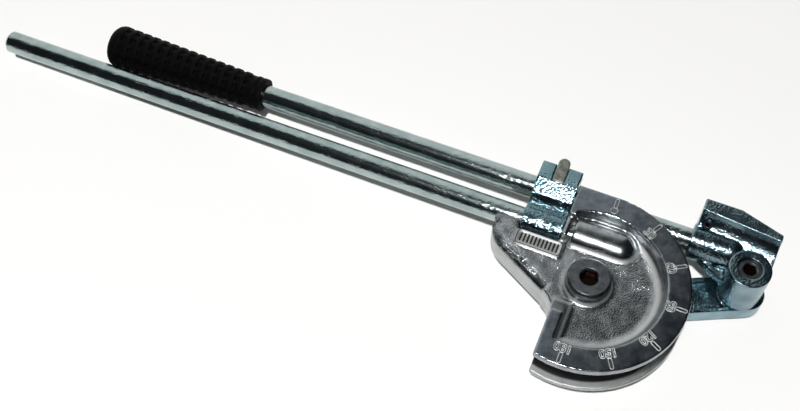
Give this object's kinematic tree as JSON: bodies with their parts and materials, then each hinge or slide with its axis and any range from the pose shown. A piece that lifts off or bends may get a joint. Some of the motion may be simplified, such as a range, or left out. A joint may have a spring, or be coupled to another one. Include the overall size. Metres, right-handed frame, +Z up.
{
  "type": "lever tube bender",
  "caption": "Hand lever tube bender folded flat, with a grooved round former marked in degrees, a swinging link and shoe block, a hinged tube hook, a rod handle and a gripped lever.",
  "frame": {"origin": "on the pivot axis of the former, in the plane that the folded tool lies on", "axes": "+Z up along the former's pivot axis, +X along the two handle rods towards the shoe block, +Y towards the zero mark"},
  "size_m": [0.4329, 0.1131, 0.0376],
  "materials": {
    "cast_aluminium": "bare die casting, rough in the recess",
    "zinc_rod": "bright zinc plate",
    "zinc_forging": "blue zinc plate over a rough forging",
    "dark_steel": "oiled steel",
    "grey_steel": "dull grey steel",
    "bronze": "plain bearing bronze",
    "grip_rubber": "matt black rubber"
  },
  "bodies": {
    "former_body": {"former": "cast_aluminium", "fixed_handle": "zinc_rod", "handle_lock_pin": "dark_steel", "pivot_bush": "bronze"},
    "link_body": {"link": "zinc_forging", "pivot_bolt": "dark_steel", "pivot_washer": "bronze", "pivot_disc_spring": "dark_steel", "pivot_nut": "dark_steel", "block_screw": "dark_steel", "block_washer": "bronze", "block_disc_spring": "dark_steel", "block_nut": "dark_steel"},
    "lever_body": {"shoe_block": "zinc_forging", "block_bush": "bronze", "lever_rod": "zinc_rod", "lever_roll_pin": "dark_steel", "grip": "grip_rubber"},
    "hook_body": {"hook": "zinc_forging", "hook_tongue": "grey_steel", "tongue_pin": "zinc_rod"}
  },
  "joints": [
    {"name": "link_swing", "type": "hinge", "parent": "former_body", "child": "link_body", "pos_m": [0, 0, 0], "axis": [0, 0, 1], "range_deg": [-116, 0]},
    {"name": "lever_swing", "type": "hinge", "parent": "link_body", "child": "lever_body", "pos_m": [0.07072, 0.03475, 0], "axis": [0, 0, 1], "range_deg": [-244, 0]},
    {"name": "hook_lift", "type": "hinge", "parent": "former_body", "child": "hook_body", "pos_m": [-0.0315, 0.0264, 0.0216], "axis": [1, 0, 0], "range_deg": [-6, 95]}
  ]
}
